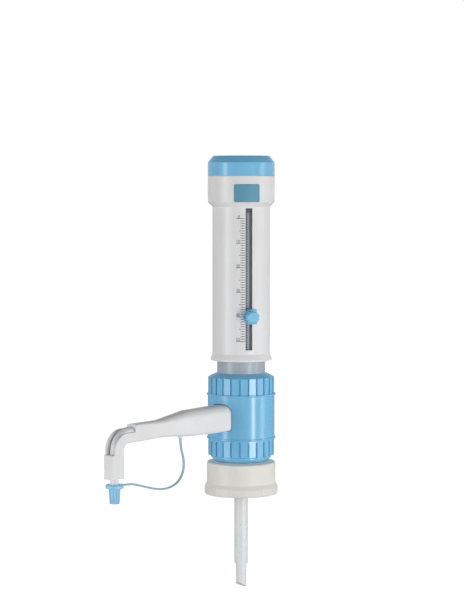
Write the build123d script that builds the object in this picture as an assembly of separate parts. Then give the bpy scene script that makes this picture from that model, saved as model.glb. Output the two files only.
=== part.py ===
"""Bottle-top dispenser with a telescoping suction tube, a swivelling valve block and a capped spout.

Millimetres. The origin is the centre of the face that seals on the bottle's mouth. +Z runs up the
cylinder's axis, and the spout points along -X. "Reach" is a distance from the axis towards the spout.
"""

from build123d import *
from math import atan2, cos, degrees, pi, radians, sqrt, tan
import os

# Running and assembly clearances
RUNNING = 0.2
SLIDING = 0.15
FIT = 0.05
SEAM = 0.3

# Bottle adapter, with the female thread of a 45 mm lab bottle neck
NECK_THREAD_RADIUS = 22.65
NECK_THREAD_DEPTH = 1.1
NECK_THREAD_PITCH = 4.0
NECK_THREAD_TURNS = 3
ADAPTER_DEPTH = 20.0
ADAPTER_TOP = 4.5
ADAPTER_WALL = 2.55
ADAPTER_DROP = 1.1
ADAPTER_EDGE = 1.2
ADAPTER_SEAT_RADIUS = 20.5
SKIRT_STEP = 1.65
SKIRT_HEIGHT = 5.5
SKIRT_FLARE = 2.9
SKIRT_EDGE = 1.2
SKIRT_RIBS = 72
SKIRT_RIB_DEPTH = 0.25
SPIGOT_RADIUS = 16.0
SPIGOT_BORE = 12.5
SPIGOT_HEIGHT = 12.0
ADAPTER_SEAL_THICKNESS = 0.8

# Grip collars: the lower one is a union nut, the upper one clamps the cylinder and its guard
COLLAR_WALL = 4.05
COLLAR_RIBS = 24
COLLAR_RIB_WIDTH = 4.8
COLLAR_RIB_DEPTH = 0.8
COLLAR_LIP = 1.0
LOWER_COLLAR_HEIGHT = 15.9
LOWER_COLLAR_FOOT = 4.45
LOWER_COLLAR_BEVEL = 2.3
LOWER_COLLAR_STEP = 3.2
UPPER_COLLAR_HEIGHT = 15.1
UPPER_COLLAR_LIP = 1.9
UPPER_COLLAR_BEVEL = 3.2
UPPER_COLLAR_SLOPE = 1.6
UPPER_COLLAR_INSET = 2.5

# Valve block
BLOCK_STEP = 0.4
BLOCK_HEIGHT = 33.2
BLOCK_RIDGE_STEP = 0.85
BLOCK_RIDGE = 1.3
BLOCK_NECK_RADIUS = 16.2
BLOCK_FLANGE_RADIUS = 19.0
BLOCK_FLANGE = 1.7
BLOCK_SPIGOT_WALL = 4.15
BLOCK_SPIGOT_HEIGHT = 10.5
RISER_RADIUS = 4.0
OUTLET_RADIUS = 2.2
VENT_RADIUS = 1.2
VENT_REACH = 10.8

# Glass cylinder, guard and stop ring
CYLINDER_BORE = 13.4
CYLINDER_WALL = 2.1
CYLINDER_LENGTH = 134.0
CYLINDER_SINK = 4.1
GASKET = 1.2
GUARD_GAP = 0.55
GUARD_WALL = 1.5
GUARD_FLANGE = 2.6
GUARD_SHOWN = 9.0
STOP_RING = 3.0

# Piston, seal and rod
PISTON_LENGTH = 14.0
PISTON_REST_GAP = 0.4
PISTON_SEAL = 2.4
PISTON_SEAL_DEPTH = 1.6
ROD_SCREWED_DEPTH = 8.0
ROD_RADIUS = 5.0
ROD_THREAD_RADIUS = 4.0
ROD_THREAD_LENGTH = 10.5
WASHER = 1.2
WASHER_RADIUS = 8.0
NUT_HEIGHT = 5.4
NUT_ACROSS_FLATS = 13.0

# Outer sleeve with its head, slot and scale
SLEEVE_GAP = 1.65
SLEEVE_WALL = 1.8
RIM_STEP = 1.4
RIM_HEIGHT = 1.4
RIM_FLARE = 3.9
RIM_ROUND = 0.5
HEAD_STEP = 3.4
HEAD_WALL = 2.3
HEAD_SHOULDER = 3.3
HEAD_ROUND = 1.5
HEAD_SKIRT = 5.4
HEAD_RISE = 13.6
HEAD_WEB = 3.5
HEAD_WEB_GAP = 13.8
SLOT_WIDTH = 5.2
SLOT_FOOT = 8.6
SLOT_MARGIN = 6.5
SLOT_HEADROOM = 7.4
SLOT_TURN = 34.1
PLATE_TURN = 39.9
PLATE_WIDTH = 18.2
PLATE_HEIGHT = 12.6
PLATE_THICKNESS = 1.0
PLATE_RISE = 1.3
PLATE_CORNER = 0.9
PLATE_GAP = 0.25

# Volume scale: one millilitre of stroke in the cylinder's bore
MILLILITRE = 1000.0 / (pi * CYLINDER_BORE**2)
SCALE_ZERO_DROP = 3.2
SET_SHORT_OF_FULL = 10

# Top cap
CAP_HEIGHT = 14.7
CAP_CHAMFER_HEIGHT = 4.8
CAP_CHAMFER_WIDTH = 4.0
CAP_ROUND = 1.2
CAP_WALL = 2.0
CAP_SPIGOT = 4.0

# Toothed rack and pointer
RACK_WIDTH = 1.3
RACK_THICKNESS = 1.2
RACK_TOOTH = 0.6
POINTER_THICKNESS = 2.0
POINTER_HEIGHT = 10.8
POINTER_RIGHT = 5.0
POINTER_SHOULDER = 1.2
POINTER_TIP = 5.6
STEM_WIDTH = 3.0
STEM_HEIGHT = 7.0
SHOE_WIDTH = 8.4
SHOE_HEIGHT = 8.0
SHOE_THICKNESS = 1.1
KNOB_RADIUS = 4.6
KNOB_LENGTH = 6.2
KNOB_COLLAR = 1.2
KNOB_FLUTES = 10
SCREW_RADIUS = 1.1

# Spout housing
SPOUT_AXIS = 36.8
SPOUT_ROOT = 14.0
SPOUT_WALL = 1.7
SPOUT_WIDTH = 8.6
SPOUT_TOP = 41.6
SPOUT_BOTTOM = 29.5
SPOUT_EDGE = 1.2
SPOUT_HAUNCH_BOTTOM = 28.4
NOZZLE_REACH = 134.8
ELBOW_RUN = 17.2
ELBOW_INNER = 5.5
ELBOW_OUTER = 15.0
CHEEK_TOP = 39.4
CHEEK_SLOPE = 1.5
CHEEK_FRONT = 5.1
NEAR_CHEEK_TOP = 36.4
NEAR_CHEEK_FRONT = 3.6
NEAR_CHEEK_BEND = 12.5
WINDOW_RUN = 16.8
BOOT_LENGTH = 12.0
BOOT_OFFSET = 0.35
BOOT_WIDTH = 9.0
BOOT_TOP = 22.4
BOOT_BOTTOM = 5.5
STRAP_EXIT_REACH = 67.0
STRAP_BOSS_RADIUS = 1.9
STRAP_BOSS = 1.2

# Spout tube
TUBE_RADIUS = 2.9
TUBE_BORE = 2.0
TUBE_BEND = 12.5
TUBE_TIP = -6.9

# Nozzle cap and its strap
NOZZLE_CAP_TOP = 1.7
NOZZLE_CAP_FLANGE = 2.7
NOZZLE_CAP_FLANGE_RADIUS = 6.3
NOZZLE_CAP_RADIUS = 4.05
NOZZLE_CAP_TIP_RADIUS = 3.4
NOZZLE_CAP_BOTTOM = -11.6
NOZZLE_CAP_RIBS = 12
NOZZLE_CAP_RIB_DEPTH = 0.35
LUG_WIDTH = 2.6
LUG_LENGTH = 1.6
LUG_HEIGHT = 2.0
CAP_END_GAP = 0.8
STRAP_RADIUS = 1.0

# Filling valve
FILLING_BODY_RADIUS = 6.4
FILLING_BODY_LENGTH = 15.5
FILLING_FLANGE_RADIUS = 9.0
FILLING_FLANGE = 3.0
FILLING_CAVITY = 4.6
FILLING_BALL_RADIUS = 4.0
FILLING_SEAT_BORE = 2.8
FILLING_SEAT = 2.0
FILLING_SEAT_RISE = 4.7
RETAINER_PORT = 1.15
FILLING_LIFT = 2.5
RETAINER = 1.2
PORT_EDGE = 0.8
NIPPLE_RADIUS = 4.0
NIPPLE_BORE = 2.4
NIPPLE_LENGTH = 13.2
NIPPLE_SHOULDER = 5.2
NIPPLE_SHOULDER_HEIGHT = 4.3
NIPPLE_BARB = 1.5

# Discharge valve
DISCHARGE_RADIUS = 5.5
DISCHARGE_START = 8.2
DISCHARGE_LEDGE = 1.0
DISCHARGE_END = 30.0
DISCHARGE_FLANGE = 1.6
DISCHARGE_FLANGE_RADIUS = 6.2
DISCHARGE_CAVITY = 3.4
DISCHARGE_CAVITY_END = 23.9
DISCHARGE_SEAT = 1.6
DISCHARGE_SEAT_BORE = 1.6
DISCHARGE_BALL_RADIUS = 2.4
SPRING_RADIUS = 1.7
SPRING_WIRE = 0.25
SPRING_TURNS = 4
TUBE_SHOULDER = 0.5

# Suction tube
UPPER_TUBE_RADIUS = 5.0
UPPER_TUBE_LENGTH = 81.0
LOWER_TUBE_WALL = 0.9
LOWER_TUBE_TOP = -6.0
LOWER_TUBE_BOTTOM = -90.0
TUBE_TIP_CUT = 4.0

# Radii, built outwards from the cylinder's bore and from the bottle's thread
CYLINDER_RADIUS = CYLINDER_BORE + CYLINDER_WALL
GUARD_RADIUS = CYLINDER_RADIUS + GUARD_GAP + GUARD_WALL
SLEEVE_BORE = GUARD_RADIUS + SLEEVE_GAP
STOP_RING_RADIUS = SLEEVE_BORE - SEAM
SLEEVE_RADIUS = SLEEVE_BORE + SLEEVE_WALL
RIM_RADIUS = SLEEVE_RADIUS + RIM_STEP
HEAD_RADIUS = SLEEVE_RADIUS + HEAD_STEP
HEAD_BORE = HEAD_RADIUS - HEAD_WALL
PISTON_RADIUS = CYLINDER_BORE - FIT
BLOCK_SPIGOT_RADIUS = CYLINDER_RADIUS + SLIDING + BLOCK_SPIGOT_WALL
COLLAR_RADIUS = BLOCK_SPIGOT_RADIUS + RUNNING + COLLAR_WALL
BLOCK_RADIUS = COLLAR_RADIUS + BLOCK_STEP
BLOCK_RIDGE_RADIUS = BLOCK_RADIUS + BLOCK_RIDGE_STEP
ADAPTER_RADIUS = NECK_THREAD_RADIUS + ADAPTER_WALL
SKIRT_RADIUS = ADAPTER_RADIUS + SKIRT_STEP
CHANNEL_RADIUS = TUBE_RADIUS + RUNNING

# Levels, built upwards from the bottle's mouth
SPIGOT_TOP = ADAPTER_TOP + SPIGOT_HEIGHT
BLOCK_BASE = SPIGOT_TOP + ADAPTER_SEAL_THICKNESS
LOWER_COLLAR_BOTTOM = ADAPTER_TOP + SEAM
LOWER_COLLAR_TOP = LOWER_COLLAR_BOTTOM + LOWER_COLLAR_HEIGHT
BLOCK_BOTTOM = LOWER_COLLAR_TOP + RUNNING
BLOCK_TOP = BLOCK_BOTTOM + BLOCK_HEIGHT
BLOCK_SPIGOT_TOP = BLOCK_TOP + BLOCK_SPIGOT_HEIGHT
CHAMBER_FLOOR = BLOCK_TOP - CYLINDER_SINK
CYLINDER_BOTTOM = CHAMBER_FLOOR + GASKET
CYLINDER_TOP = CYLINDER_BOTTOM + CYLINDER_LENGTH
GUARD_BOTTOM = BLOCK_SPIGOT_TOP
UPPER_COLLAR_TOP = BLOCK_TOP + UPPER_COLLAR_HEIGHT
SLEEVE_BOTTOM = UPPER_COLLAR_TOP + GUARD_SHOWN
HEAD_WEB_BOTTOM = CYLINDER_TOP + HEAD_WEB_GAP
HEAD_WEB_TOP = HEAD_WEB_BOTTOM + HEAD_WEB
HEAD_BOTTOM = HEAD_WEB_BOTTOM - HEAD_SKIRT
HEAD_TOP = HEAD_WEB_BOTTOM + HEAD_RISE
PLATE_CENTRE = HEAD_WEB_BOTTOM + PLATE_RISE
SCALE_ZERO = CYLINDER_TOP - SCALE_ZERO_DROP
SLOT_BOTTOM = SLEEVE_BOTTOM + SLOT_FOOT
SLOT_TOP = SCALE_ZERO + SLOT_HEADROOM
FULL_VOLUME = int((SCALE_ZERO - SLOT_BOTTOM - SLOT_MARGIN) / MILLILITRE)
SET_VOLUME = FULL_VOLUME - SET_SHORT_OF_FULL
POINTER_LEVEL = SCALE_ZERO - SET_VOLUME * MILLILITRE
STOP_UNDERSIDE = SCALE_ZERO + SHOE_HEIGHT / 2 + SEAM
PISTON_BOTTOM = CHAMBER_FLOOR + PISTON_REST_GAP
PISTON_TOP = PISTON_BOTTOM + PISTON_LENGTH
FILLING_FLANGE_BOTTOM = BLOCK_BASE - ADAPTER_SEAL_THICKNESS - FILLING_FLANGE
FILLING_TOP = BLOCK_BASE + FILLING_BODY_LENGTH
NIPPLE_TOP = FILLING_FLANGE_BOTTOM - NIPPLE_SHOULDER_HEIGHT
NIPPLE_BOTTOM = NIPPLE_TOP - NIPPLE_LENGTH
FILLING_SEAT_TOP = BLOCK_BASE + FILLING_SEAT_RISE
FILLING_BALL_LEVEL = FILLING_SEAT_TOP + sqrt(FILLING_BALL_RADIUS**2 - FILLING_SEAT_BORE**2)
RETAINER_BOTTOM = FILLING_BALL_LEVEL + FILLING_BALL_RADIUS + FILLING_LIFT + RUNNING

# Reaches, built along the spout
DISCHARGE_SEAT_END = DISCHARGE_START + DISCHARGE_LEDGE + DISCHARGE_SEAT
DISCHARGE_BALL_REACH = DISCHARGE_SEAT_END + sqrt(DISCHARGE_BALL_RADIUS**2 - DISCHARGE_SEAT_BORE**2)
SPOUT_RECESS = SPOUT_ROOT - SEAM
TUBE_START = DISCHARGE_CAVITY_END + TUBE_SHOULDER
BOOT_REAR = NOZZLE_REACH - BOOT_LENGTH / 2 + BOOT_OFFSET
BOOT_FRONT = BOOT_REAR + BOOT_LENGTH
ARM_END = BOOT_REAR - ELBOW_RUN
ARM_LENGTH = ARM_END - SPOUT_ROOT
WINDOW_START = NOZZLE_REACH - WINDOW_RUN

# Spout housing stations: reach, width, underside, top, top corner radius, bottom corner radius
SPOUT_STATIONS = [
    (SPOUT_ROOT, 19.4, 28.2, 47.3, 6.5, 2.5),
    (SPOUT_ROOT + 0.265 * ARM_LENGTH, 17.6, 28.1, 46.8, 6.2, 2.5),
    (SPOUT_ROOT + 0.49 * ARM_LENGTH, 15.2, SPOUT_HAUNCH_BOTTOM, 46.3, 5.6, 2.4),
    (SPOUT_ROOT + 0.675 * ARM_LENGTH, 11.8, 29.8, 43.6, 4.0, 2.0),
    (SPOUT_ROOT + 0.785 * ARM_LENGTH, 9.9, 30.1, 41.9, 2.8, 1.8),
    (ARM_END, SPOUT_WIDTH, SPOUT_BOTTOM, SPOUT_TOP, SPOUT_EDGE, SPOUT_EDGE),
]

# Strap route from the arm's underside to the cap's lug, as reach and height
LUG_REACH = NOZZLE_REACH - NOZZLE_CAP_FLANGE_RADIUS - LUG_LENGTH
STRAP_LEVEL = NOZZLE_CAP_TOP - NOZZLE_CAP_FLANGE / 2
STRAP_EXIT_LEVEL = SPOUT_HAUNCH_BOTTOM - STRAP_BOSS
STRAP_SPAN = LUG_REACH - STRAP_EXIT_REACH
STRAP_ROUTE = [
    (STRAP_EXIT_REACH, STRAP_EXIT_LEVEL),
    (STRAP_EXIT_REACH, 21.0),
    (STRAP_EXIT_REACH - 3.7, 11.6),
    (STRAP_EXIT_REACH - 3.3, 3.0),
    (STRAP_EXIT_REACH + 2.0, -4.0),
    (STRAP_EXIT_REACH + 0.175 * STRAP_SPAN, -7.1),
    (STRAP_EXIT_REACH + 0.345 * STRAP_SPAN, -7.3),
    (STRAP_EXIT_REACH + 0.525 * STRAP_SPAN, -5.0),
    (STRAP_EXIT_REACH + 0.695 * STRAP_SPAN, -2.2),
    (STRAP_EXIT_REACH + 0.85 * STRAP_SPAN, STRAP_LEVEL),
    (LUG_REACH, STRAP_LEVEL),
]


def post(radius, low, high):
    """A plain round post on the axis."""
    return Pos(0, 0, low) * Cylinder(radius, high - low, align=(Align.CENTER, Align.CENTER, Align.MIN))


def ring(outer, inner, low, high):
    """A plain tube on the axis."""
    return post(outer, low, high) - post(inner, low - 1, high + 1)


def turned(outline, rounds=()):
    """A body turned about the axis from its half outline of radius and height, with some corners rounded."""
    face = make_face(Polyline(*outline, close=True))
    for corner, radius in rounds:
        face = fillet(face.vertices().sort_by_distance((*corner, 0))[0], radius)
    return revolve(Plane.XZ * face, Axis.Z)


def along_spout(solid):
    """Lay a body that was made upright about the axis along the spout, with its height as its reach."""
    return Pos(0, 0, SPOUT_AXIS) * Rot(0, -90, 0) * solid


def at_slot(solid, turn=SLOT_TURN):
    """Turn a body that was made facing -Y to its place round the sleeve, towards the spout."""
    return Rot(0, 0, -turn) * solid


def gap_cutters(count, width, root, reach, low, high):
    """Upright bars that cut the gaps between grip ribs."""
    bar = Pos((root + reach) / 2, 0, (low + high) / 2) * Box(reach - root, width, high - low)
    return [Rot(0, 0, 360 * (step + 0.5) / count) * bar for step in range(count)]


def grip_gap(radius, count, rib_width):
    """Width of the gap that is left between two ribs."""
    return 2 * pi * radius / count - rib_width


def neck_thread():
    """The female thread's ridge inside the adapter."""
    bore = NECK_THREAD_RADIUS
    height = NECK_THREAD_PITCH * NECK_THREAD_TURNS
    start = -ADAPTER_DEPTH + NECK_THREAD_PITCH * 0.75
    path = Pos(0, 0, start) * Helix(NECK_THREAD_PITCH, height, bore)
    tooth = Polyline(
        (0.15, -NECK_THREAD_PITCH * 0.3),
        (-NECK_THREAD_DEPTH, -0.5),
        (-NECK_THREAD_DEPTH, 0.5),
        (0.15, NECK_THREAD_PITCH * 0.3),
        close=True,
    )
    section = Plane(origin=(bore, 0, start), x_dir=(1, 0, 0), z_dir=(0, -1, 0)) * make_face(tooth)
    return sweep(section, path=path, is_frenet=True)


def bottle_adapter():
    rim = (ADAPTER_RADIUS, ADAPTER_TOP - ADAPTER_DROP)
    skirt_foot = (SKIRT_RADIUS, -ADAPTER_DEPTH)
    outline = [
        (SPIGOT_BORE, 0),
        (NECK_THREAD_RADIUS, 0),
        (NECK_THREAD_RADIUS, -ADAPTER_DEPTH),
        skirt_foot,
        (SKIRT_RADIUS, -ADAPTER_DEPTH + SKIRT_HEIGHT),
        (ADAPTER_RADIUS, -ADAPTER_DEPTH + SKIRT_HEIGHT + SKIRT_FLARE),
        rim,
        (ADAPTER_SEAT_RADIUS, ADAPTER_TOP),
        (SPIGOT_RADIUS, ADAPTER_TOP),
        (SPIGOT_RADIUS, SPIGOT_TOP),
        (SPIGOT_BORE, SPIGOT_TOP),
    ]
    body = turned(outline, [(rim, ADAPTER_EDGE), (skirt_foot, SKIRT_EDGE)])
    root = SKIRT_RADIUS - SKIRT_RIB_DEPTH
    gap = pi * SKIRT_RADIUS / SKIRT_RIBS
    low = -ADAPTER_DEPTH + SKIRT_EDGE
    high = -ADAPTER_DEPTH + SKIRT_HEIGHT + SKIRT_FLARE
    body -= gap_cutters(SKIRT_RIBS, gap, root, SKIRT_RADIUS + 1, low, high)
    return body + neck_thread()


def adapter_seal():
    return ring(SPIGOT_RADIUS - SLIDING, SPIGOT_BORE + 0.5, SPIGOT_TOP, BLOCK_BASE)


def grip_collar(outline, low, high):
    """A collar with flat-faced grip ribs round it, from its half outline and the gaps' ends."""
    flats = Rot(0, 0, 180 / COLLAR_RIBS) * RegularPolygon(COLLAR_RADIUS, COLLAR_RIBS, major_radius=False)
    prism = extrude(Pos(0, 0, LOWER_COLLAR_BOTTOM) * flats, UPPER_COLLAR_TOP)
    gap = grip_gap(COLLAR_RADIUS, COLLAR_RIBS, COLLAR_RIB_WIDTH)
    root = COLLAR_RADIUS - COLLAR_RIB_DEPTH
    return (turned(outline) & prism) - gap_cutters(COLLAR_RIBS, gap, root, COLLAR_RADIUS + 1, low, high)


def lower_collar():
    low = LOWER_COLLAR_BOTTOM
    foot = COLLAR_RADIUS - LOWER_COLLAR_FOOT
    corner = COLLAR_RADIUS / cos(pi / COLLAR_RIBS)
    outline = [
        (SPIGOT_RADIUS + RUNNING, low),
        (foot, low),
        (foot + LOWER_COLLAR_BEVEL, low + LOWER_COLLAR_BEVEL),
        (foot + LOWER_COLLAR_BEVEL, low + LOWER_COLLAR_STEP),
        (corner, low + LOWER_COLLAR_STEP + COLLAR_LIP),
        (corner, LOWER_COLLAR_TOP),
        (BLOCK_NECK_RADIUS + SEAM, LOWER_COLLAR_TOP),
        (BLOCK_NECK_RADIUS + SEAM, BLOCK_BASE + BLOCK_FLANGE + RUNNING),
        (BLOCK_FLANGE_RADIUS + SEAM, BLOCK_BASE + BLOCK_FLANGE + RUNNING),
        (BLOCK_FLANGE_RADIUS + SEAM, BLOCK_BASE - ADAPTER_SEAL_THICKNESS),
        (SPIGOT_RADIUS + RUNNING, BLOCK_BASE - ADAPTER_SEAL_THICKNESS),
    ]
    return grip_collar(outline, low, LOWER_COLLAR_TOP - COLLAR_LIP)


def upper_collar():
    top = UPPER_COLLAR_TOP
    corner = COLLAR_RADIUS / cos(pi / COLLAR_RIBS)
    outline = [
        (BLOCK_SPIGOT_RADIUS + RUNNING, BLOCK_TOP),
        (corner, BLOCK_TOP),
        (corner, top - UPPER_COLLAR_BEVEL),
        (COLLAR_RADIUS - UPPER_COLLAR_INSET, top - UPPER_COLLAR_SLOPE),
        (GUARD_RADIUS + FIT, top),
        (GUARD_RADIUS + FIT, top - UPPER_COLLAR_LIP),
        (BLOCK_SPIGOT_RADIUS + RUNNING, top - UPPER_COLLAR_LIP),
    ]
    return grip_collar(outline, BLOCK_TOP - 1, top - UPPER_COLLAR_BEVEL + COLLAR_LIP / 2)


def spout_section(station, reach=None, grow=0.0):
    """The spout housing's cross-section at one station, made larger or smaller all round by grow."""
    place, width, low, high, top_radius, bottom_radius = station
    face = Pos(0, (low + high) / 2) * Rectangle(width + 2 * grow, high - low + 2 * grow)
    face = fillet(face.vertices().group_by(Axis.Y)[-1], max(top_radius + grow, 0.3))
    face = fillet(face.vertices().group_by(Axis.Y)[0], max(bottom_radius + grow, 0.3))
    distance = place if reach is None else reach
    return Plane(origin=(-distance, 0, 0), x_dir=(0, -1, 0), z_dir=(-1, 0, 0)) * face


def valve_block():
    base = BLOCK_BASE
    flange_top = base + BLOCK_FLANGE
    outline = [
        (0, base),
        (BLOCK_FLANGE_RADIUS, base),
        (BLOCK_FLANGE_RADIUS, flange_top),
        (BLOCK_NECK_RADIUS, flange_top),
        (BLOCK_NECK_RADIUS, BLOCK_BOTTOM),
        (BLOCK_RIDGE_RADIUS, BLOCK_BOTTOM),
        (BLOCK_RIDGE_RADIUS, BLOCK_BOTTOM + BLOCK_RIDGE),
        (BLOCK_RADIUS, BLOCK_BOTTOM + BLOCK_RIDGE),
        (BLOCK_RADIUS, BLOCK_TOP - BLOCK_RIDGE),
        (BLOCK_RIDGE_RADIUS, BLOCK_TOP - BLOCK_RIDGE),
        (BLOCK_RIDGE_RADIUS, BLOCK_TOP),
        (BLOCK_SPIGOT_RADIUS, BLOCK_TOP),
        (BLOCK_SPIGOT_RADIUS, BLOCK_SPIGOT_TOP),
        (0, BLOCK_SPIGOT_TOP),
    ]
    ridge_edges = [BLOCK_BOTTOM, BLOCK_BOTTOM + BLOCK_RIDGE, BLOCK_TOP - BLOCK_RIDGE, BLOCK_TOP]
    body = turned(outline, [((BLOCK_RIDGE_RADIUS, level), BLOCK_RIDGE / 3) for level in ridge_edges])
    body -= post(CYLINDER_RADIUS + SLIDING, CHAMBER_FLOOR, BLOCK_SPIGOT_TOP + 1)
    body -= post(FILLING_BODY_RADIUS + FIT, base - 1, FILLING_TOP)
    body -= post(RISER_RADIUS, FILLING_TOP - 1, CHAMBER_FLOOR + 1)
    body -= along_spout(post(OUTLET_RADIUS, 0, DISCHARGE_START + 1))
    body -= along_spout(post(DISCHARGE_RADIUS + FIT, DISCHARGE_START, SPOUT_RECESS + 1))
    root = SPOUT_STATIONS[0]
    recess = extrude(spout_section(root, SPOUT_RECESS, SEAM), BLOCK_RIDGE_RADIUS)
    body -= recess
    vent_level = BLOCK_BOTTOM + BLOCK_RIDGE + 2 * VENT_RADIUS
    body -= Pos(VENT_REACH, 0, 0) * post(VENT_RADIUS, base - 1, vent_level)
    body -= Pos(VENT_REACH, 0, vent_level) * Rot(0, 90, 0) * post(VENT_RADIUS, 0, BLOCK_RIDGE_RADIUS)
    return body


def cylinder_gasket():
    return ring(CYLINDER_RADIUS, CYLINDER_BORE + SLIDING, CHAMBER_FLOOR, CYLINDER_BOTTOM)


def glass_cylinder():
    return ring(CYLINDER_RADIUS, CYLINDER_BORE, CYLINDER_BOTTOM, CYLINDER_TOP)


def cylinder_guard():
    bore = GUARD_RADIUS - GUARD_WALL
    tube = ring(GUARD_RADIUS, bore, GUARD_BOTTOM, STOP_UNDERSIDE + STOP_RING)
    return tube + ring(BLOCK_SPIGOT_RADIUS, bore, GUARD_BOTTOM, GUARD_BOTTOM + GUARD_FLANGE)


def stroke_stop_ring():
    return ring(STOP_RING_RADIUS, GUARD_RADIUS + FIT, STOP_UNDERSIDE, STOP_UNDERSIDE + STOP_RING)


def piston():
    groove = PISTON_BOTTOM + PISTON_LENGTH / 3
    body = post(PISTON_RADIUS, PISTON_BOTTOM, PISTON_TOP)
    body -= ring(PISTON_RADIUS + 1, PISTON_RADIUS - PISTON_SEAL_DEPTH, groove, groove + PISTON_SEAL)
    return body - post(ROD_THREAD_RADIUS, PISTON_TOP - ROD_SCREWED_DEPTH, PISTON_TOP + 1)


def piston_seal():
    groove = PISTON_BOTTOM + PISTON_LENGTH / 3
    return ring(PISTON_RADIUS, PISTON_RADIUS - PISTON_SEAL_DEPTH + FIT, groove, groove + PISTON_SEAL)


def piston_rod():
    rod = post(ROD_RADIUS, PISTON_TOP, HEAD_WEB_BOTTOM)
    rod += post(ROD_THREAD_RADIUS - FIT, PISTON_TOP - ROD_SCREWED_DEPTH, PISTON_TOP)
    return rod + post(ROD_THREAD_RADIUS, HEAD_WEB_BOTTOM, HEAD_WEB_BOTTOM + ROD_THREAD_LENGTH)


def rod_washer():
    return ring(WASHER_RADIUS, ROD_THREAD_RADIUS + FIT, HEAD_WEB_TOP, HEAD_WEB_TOP + WASHER)


def rod_nut():
    low = HEAD_WEB_TOP + WASHER
    corner = NUT_ACROSS_FLATS / 2 / cos(radians(30))
    nut = extrude(Pos(0, 0, low) * RegularPolygon(corner, 6), NUT_HEIGHT)
    return nut - post(ROD_THREAD_RADIUS + FIT, low - 1, low + NUT_HEIGHT + 1)


def outer_sleeve():
    shoulder = HEAD_BOTTOM - HEAD_SHOULDER
    rim_top = SLEEVE_BOTTOM + RIM_HEIGHT
    outline = [
        (SLEEVE_BORE, SLEEVE_BOTTOM),
        (RIM_RADIUS, SLEEVE_BOTTOM),
        (RIM_RADIUS, rim_top),
        (SLEEVE_RADIUS, rim_top + RIM_FLARE),
        (SLEEVE_RADIUS, shoulder),
        (HEAD_RADIUS, HEAD_BOTTOM),
        (HEAD_RADIUS, HEAD_TOP),
        (HEAD_BORE, HEAD_TOP),
        (HEAD_BORE, HEAD_WEB_TOP),
        (ROD_THREAD_RADIUS + FIT, HEAD_WEB_TOP),
        (ROD_THREAD_RADIUS + FIT, HEAD_WEB_BOTTOM),
        (SLEEVE_BORE, HEAD_WEB_BOTTOM),
    ]
    rounds = [
        ((RIM_RADIUS, SLEEVE_BOTTOM), RIM_ROUND),
        ((RIM_RADIUS, rim_top), RIM_ROUND),
        ((HEAD_RADIUS, HEAD_BOTTOM), HEAD_ROUND),
        ((HEAD_RADIUS, HEAD_TOP), SEAM),
    ]
    body = turned(outline, rounds)
    slot_middle = (SLOT_BOTTOM + SLOT_TOP) / 2
    slot = Pos(0, -SLEEVE_RADIUS, slot_middle) * Box(SLOT_WIDTH, 4 * SLEEVE_WALL, SLOT_TOP - SLOT_BOTTOM)
    body -= at_slot(slot)
    return body - range_plate_blank(PLATE_GAP, FIT)


def range_plate_blank(grow=0.0, deeper=0.0):
    """The curved plate on the head, let into its wall."""
    width = PLATE_WIDTH + 2 * grow
    height = PLATE_HEIGHT + 2 * grow
    block = Box(width, 2 * PLATE_WIDTH, height)
    block = fillet(block.edges().filter_by(Axis.Y), PLATE_CORNER + grow)
    low = PLATE_CENTRE - height / 2 - 1
    high = PLATE_CENTRE + height / 2 + 1
    shell = ring(HEAD_RADIUS + grow, HEAD_RADIUS - PLATE_THICKNESS - deeper, low, high)
    return at_slot(shell & Pos(0, -HEAD_RADIUS, PLATE_CENTRE) * block, PLATE_TURN)


def range_plate():
    return range_plate_blank()


def top_cap():
    top = HEAD_TOP + CAP_HEIGHT
    inner = HEAD_BORE - SLIDING
    bore = inner - CAP_WALL
    outline = [
        (0, top - CAP_WALL),
        (0, top),
        (HEAD_RADIUS - CAP_CHAMFER_WIDTH, top),
        (HEAD_RADIUS, top - CAP_CHAMFER_HEIGHT),
        (HEAD_RADIUS, HEAD_TOP),
        (inner, HEAD_TOP),
        (inner, HEAD_TOP - CAP_SPIGOT),
        (bore, HEAD_TOP - CAP_SPIGOT),
        (bore, top - CAP_CHAMFER_HEIGHT),
        (HEAD_RADIUS - CAP_CHAMFER_WIDTH - CAP_WALL, top - CAP_WALL),
    ]
    rounds = [
        ((HEAD_RADIUS - CAP_CHAMFER_WIDTH, top), CAP_ROUND),
        ((HEAD_RADIUS, top - CAP_CHAMFER_HEIGHT), CAP_ROUND),
        ((HEAD_RADIUS, HEAD_TOP), SEAM),
    ]
    return turned(outline, rounds)


def toothed_rack():
    """A strip in the slot's side, with a tooth at every millilitre."""
    left = -SLOT_WIDTH / 2
    height = SLOT_TOP - SLOT_BOTTOM
    middle = (SLOT_TOP + SLOT_BOTTOM) / 2
    face = -(SLEEVE_BORE + RACK_THICKNESS / 2 + FIT)
    strip = Pos(left + RACK_WIDTH / 2, face, middle) * Box(RACK_WIDTH, RACK_THICKNESS, height)
    teeth = int(height / MILLILITRE)
    notch_height = MILLILITRE / 2
    notches = []
    for tooth in range(teeth):
        level = SLOT_BOTTOM + (tooth + 0.75) * MILLILITRE
        place = Pos(left + RACK_WIDTH, face, level)
        notches.append(place * Box(2 * RACK_TOOTH, 2 * RACK_THICKNESS, notch_height))
    return at_slot(strip - notches)


def stem_centre():
    """Sideways place of the pointer's stem, in what the rack leaves of the slot."""
    return RACK_WIDTH / 2


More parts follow.
